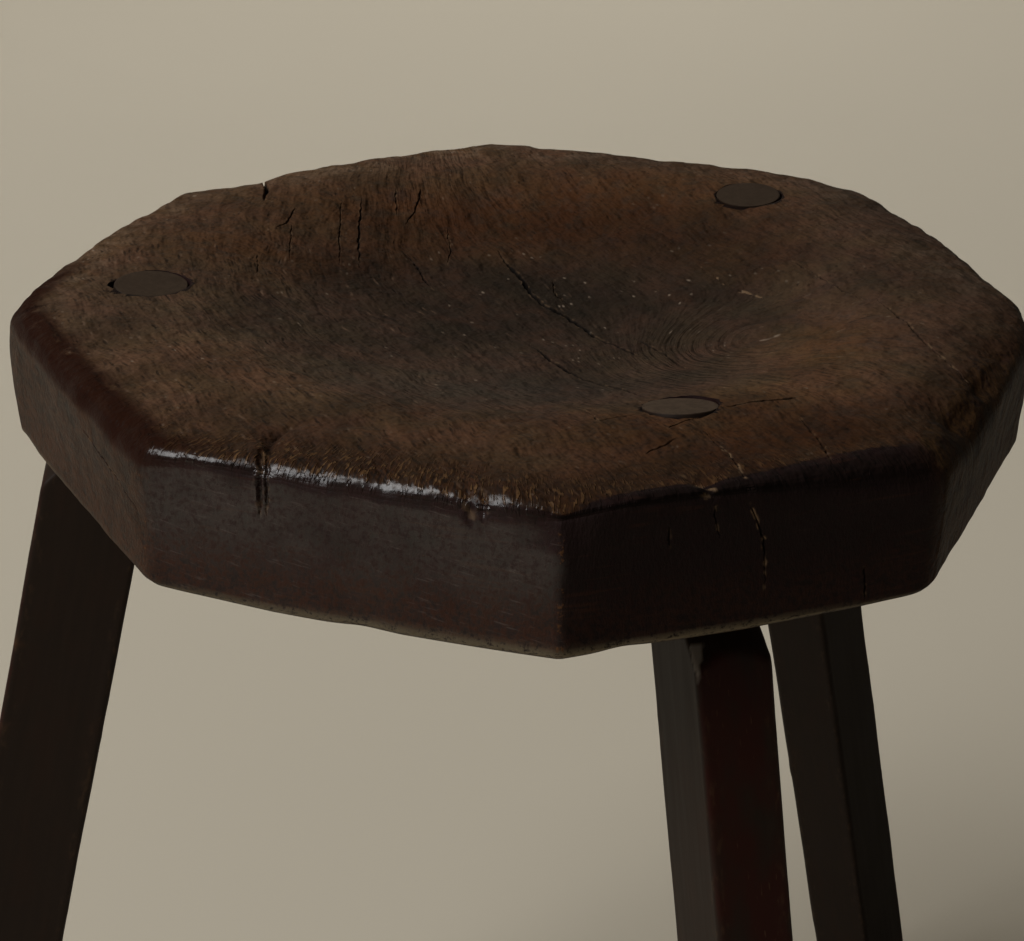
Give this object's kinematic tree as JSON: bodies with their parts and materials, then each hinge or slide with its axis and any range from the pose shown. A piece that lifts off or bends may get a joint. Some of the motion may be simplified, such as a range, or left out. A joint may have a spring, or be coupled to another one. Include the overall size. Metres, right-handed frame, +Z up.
{
  "type": "milking stool",
  "caption": "Staked wooden stool: thick octagonal plank seat, dished and worn on top, on splayed rectangular legs whose round tenons pass through the seat.",
  "frame": {"origin": "on the floor, under the middle of the stool's overall box", "axes": "+Z up, +X to the right and -Y towards the viewer of the picture, so the left leg leans out towards -X"},
  "size_m": [0.4607, 0.4546, 0.45],
  "materials": {
    "seat_wood": "dark brown worn patina, satin",
    "leg_wood": "near black brown patina, low sheen"
  },
  "bodies": {
    "root": {"seat": "seat_wood", "leg_left": "leg_wood", "leg_front_right": "leg_wood", "leg_back_right": "leg_wood"}
  },
  "joints": []
}
